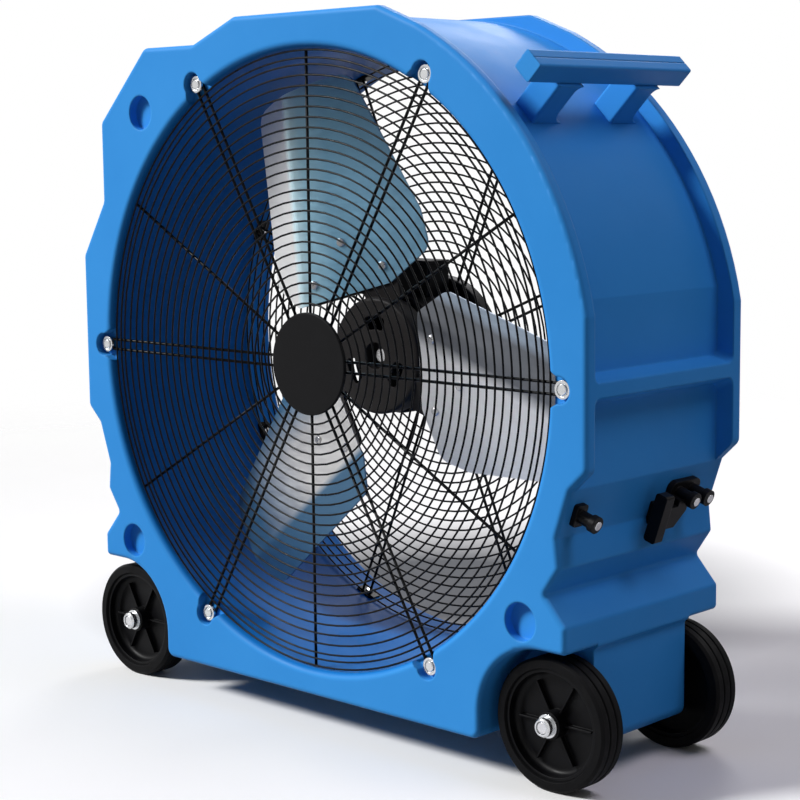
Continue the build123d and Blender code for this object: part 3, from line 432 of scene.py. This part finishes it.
def piece(name, bm, material, body, replaced, smooth=True):
    """Piece of the scene that rides a body and takes the place of nodes of the model."""
    bmesh.ops.recalc_face_normals(bm, faces=bm.faces[:])
    for face in bm.faces:
        face.smooth = smooth
    data = bpy.data.meshes.new(name)
    bm.to_mesh(data)
    bm.free()
    obj = bpy.data.objects.new(name, data)
    data.materials.append(material)
    COLLECTION.objects.link(obj)
    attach(obj, body)
    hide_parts(*replaced)


# ---------------------------------------------------------------- guards
def add_rings(bm, radii, seat):
    """Rings of a guard, welded to the front of spokes that lie against its seat."""
    y = seat - SPOKE_WIRE - RING_WIRE / 2 + WELD_SINK
    for radius in radii:
        count = max(FEWEST_STEPS, int(radius * STEPS_PER_METRE))
        path = [spot(radius, 2 * math.pi * k / count, y) for k in range(count)]
        tube(bm, path, RING_WIRE / 2, RING_SIDES, True)


def add_spoke(bm, points, angle):
    tube(bm, at_angle(points, angle), SPOKE_WIRE / 2, SPOKE_SIDES)


def hairpin(inner, y):
    """Path of a doubled spoke: out one leg, round the screw and back along the other."""
    half = SPOKE_GAP / 2
    leg_end = SCREW_CIRCLE - BEND_LEAD
    path = [(inner, half), (leg_end, half)]
    path += [(SCREW_CIRCLE + half * math.sin(a), half * math.cos(a))
             for a in (math.pi * k / BEND_STEPS for k in range(BEND_STEPS + 1))]
    path += [(leg_end, -half), (inner, -half)]
    return [(along, y, across) for along, across in path]


def add_tab(bm, angle):
    """Curved tab against the drum wall, with rounded corners."""
    low, high = TAB_ENDS
    half = TAB_WIDTH / 2
    corner = [-half + TAB_CORNER * (1 - math.cos(math.pi / 2 * k / TAB_CORNER_STEPS))
              for k in range(TAB_CORNER_STEPS + 1)]
    middle = [half * (2 * k / TAB_STEPS - 1)
              for k in range(TAB_CORNER_SHARE, TAB_STEPS - TAB_CORNER_SHARE + 1)]
    columns = []
    for place in corner + middle + [-place for place in reversed(corner)]:
        inset = max(0.0, abs(place) - half + TAB_CORNER)
        cut = TAB_CORNER - math.sqrt(max(0.0, TAB_CORNER**2 - inset**2))
        turn = place / TAB_INNER
        outline = [(r * math.cos(turn), y, r * math.sin(turn)) for r, y in (
            (TAB_INNER, low + cut), (TAB_INNER, high - cut),
            (TAB_OUTER, high - cut), (TAB_OUTER, low + cut))]
        columns.append([bm.verts.new(p) for p in at_angle(outline, angle)])
    for one, two in zip(columns, columns[1:]):
        join(bm, one, two)
    cap(bm, columns)


def make_front_guard(wire):
    """Rings on doubled spokes, with a single spoke between each two."""
    rings, spokes = bmesh.new(), bmesh.new()
    y = FRONT_SEAT - SPOKE_WIRE / 2
    inner = HUB_PLATE - UNDER_HUB_PLATE
    radii = [RIM_RING, SECOND_RING]
    radii += [FRONT_EVEN_RING - k * FRONT_RING_STEP for k in range(FRONT_EVEN_RINGS)]
    add_rings(rings, radii, FRONT_SEAT)
    single = [(r, y, 0) for r in (inner, FRONT_SPOKE_MIDDLE, RIM_RING)]
    for k in range(FRONT_SPOKES):
        add_spoke(spokes, hairpin(inner, y), 2 * math.pi * k / FRONT_SPOKES)
        add_spoke(spokes, single, 2 * math.pi * (k + 0.5) / FRONT_SPOKES)
    piece("front_guard_rings", rings, wire, "casing", ("front_guard",))
    piece("front_guard_spokes", spokes, wire, "casing", ("front_guard",))


def make_rear_guard(wire):
    """Rings on doubled spokes, each pair welded to a tab against the drum wall."""
    rings, spokes, tabs = bmesh.new(), bmesh.new(), bmesh.new()
    y = REAR_SEAT - SPOKE_WIRE / 2
    radii = [RIM_RING] + [REAR_EVEN_RING - k * REAR_RING_STEP for k in range(REAR_EVEN_RINGS)]
    add_rings(rings, radii, REAR_SEAT)
    ends = (MOUNT_PLATE - UNDER_MOUNT_PLATE, REAR_SPOKE_MIDDLE, TAB_INNER + WELD_SINK)
    for k in range(REAR_SPOKES):
        angle = math.radians(360 * (k + 0.5) / REAR_SPOKES)
        for side in (-1, 1):
            add_spoke(spokes, [(r, y, side * SPOKE_GAP / 2) for r in ends], angle)
        add_tab(tabs, angle)
    piece("rear_guard_rings", rings, wire, "casing", ("rear_guard",))
    piece("rear_guard_spokes", spokes, wire, "casing", ("rear_guard",))
    piece("rear_guard_tabs", tabs, wire, "casing", ("rear_guard",), False)


# ---------------------------------------------------------------- floor and light
def direct_rays(nodes, links):
    """Socket that gives 1 to camera, glossy and transmission rays and 0 to others."""
    path = nodes.new("ShaderNodeLightPath").outputs
    seen = path["Is Camera Ray"]
    for other in ("Is Glossy Ray", "Is Transmission Ray"):
        either = nodes.new("ShaderNodeMath")
        either.operation = "MAXIMUM"
        links.new(seen, either.inputs[0])
        links.new(path[other], either.inputs[1])
        seen = either.outputs[0]
    return seen


def make_stage():
    """Pale floor that keeps the shadow and fades into the white background further out.

    Its colour is darker for the rays that carry light to the fan, and a painted shadow darkens a soft
    patch behind the fan, where the photograph's floor is dark."""
    data = bpy.data.meshes.new("floor")
    bm = bmesh.new()
    rings = []
    for radius in FLOOR_RADII:
        rings.append([bm.verts.new((radius * math.cos(a), radius * math.sin(a), 0))
                      for a in (2 * math.pi * k / FLOOR_SIDES for k in range(FLOOR_SIDES))])
    bm.faces.new(rings[0])
    for one, two in zip(rings, rings[1:]):
        for k in range(FLOOR_SIDES):
            n = (k + 1) % FLOOR_SIDES
            bm.faces.new((one[k], two[k], two[n], one[n]))
    bm.to_mesh(data)
    bm.free()
    floor = bpy.data.objects.new("floor", data)
    t = Tree("floor_pale")
    pale = t.ramp(t.noise(1.6, 3), [(0.3, (0.94, 0.94, 0.935)), (0.7, (0.97, 0.97, 0.965))])
    base = t.mix(direct_rays(t.nodes, t.links), FLOOR_TO_OTHER_RAYS, pale)
    away = t.distance((0, 0, 0))
    # painted shadow in a soft patch behind the fan
    shade = t.spread(t.distance(SHADE_CENTRE), 1.0, 0.0, SHADE_FULL, SHADE_GONE)
    base = t.mix(shade, base, SHADE_COLOUR)
    t.set(Base_Color=base, Roughness=t.spread(t.noise(6, 4), 0.55, 0.7),
          Alpha=t.spread(away, 1.0, 0.0, FLOOR_FADE_START, FLOOR_FADE_END),
          Specular_IOR_Level=0.1)
    data.materials.append(t.mat)
    COLLECTION.objects.link(floor)


def aim_at(obj, place, target=FAN_MIDDLE):
    """Set an object in its place, facing the target."""
    obj.location = place
    aim = Vector(target) - Vector(place)
    obj.rotation_euler = aim.to_track_quat("-Z", "Y").to_euler()
    COLLECTION.objects.link(obj)


def make_cards():
    """Black cards that only glossy rays meet, for the metal's dark reflections."""
    t = Tree("card_black")
    base = t.ramp(t.noise(2, 2), [(0.3, (0.015, 0.015, 0.017)), (0.7, (0.03, 0.03, 0.032))])
    t.set(Base_Color=base, Roughness=0.9)
    for name, place, width, height in CARDS:
        data = bpy.data.meshes.new(name)
        bm = bmesh.new()
        bm.faces.new([bm.verts.new((x * width / 2, y * height / 2, 0))
                      for x, y in ((-1, -1), (1, -1), (1, 1), (-1, 1))])
        bm.to_mesh(data)
        bm.free()
        data.materials.append(t.mat)
        card = bpy.data.objects.new(name, data)
        for ray in ("camera", "diffuse", "shadow", "transmission", "volume_scatter"):
            setattr(card, "visible_" + ray, False)
        aim_at(card, place, (0, 0, place[2]))


def make_light():
    """Soft sun from the front left, a lamp beside it, lamps behind and above, a white surround."""
    key = bpy.data.lights.new("key", "SUN")
    key.energy, key.angle = KEY_ENERGY, math.radians(KEY_ANGLE)
    aim_at(bpy.data.objects.new("key", key), KEY_PLACE)
    for name, place, size, energy, colour in LAMPS:
        data = bpy.data.lights.new(name, "AREA")
        data.shape, data.size, data.energy, data.color = "DISK", size, energy, colour
        aim_at(bpy.data.objects.new(name, data), place)
    world = bpy.data.worlds.new("world")
    SCENE.world = world
    world.use_nodes = True
    nodes, links = world.node_tree.nodes, world.node_tree.links
    back = nodes["Background"]
    back.inputs["Color"].default_value = (1, 1, 1, 1)
    seen = direct_rays(nodes, links)
    level = nodes.new("ShaderNodeMapRange")
    level.inputs["To Min"].default_value = SURROUND_AS_LIGHT
    level.inputs["To Max"].default_value = SURROUND_AS_SEEN
    links.new(seen, level.inputs["Value"])
    links.new(level.outputs[0], back.inputs["Strength"])


make_camera()
materials = make_materials()
make_front_guard(materials["wire"])
make_rear_guard(materials["wire"])
make_stage()
make_cards()
make_light()
SCENE.view_settings.view_transform = "Standard"
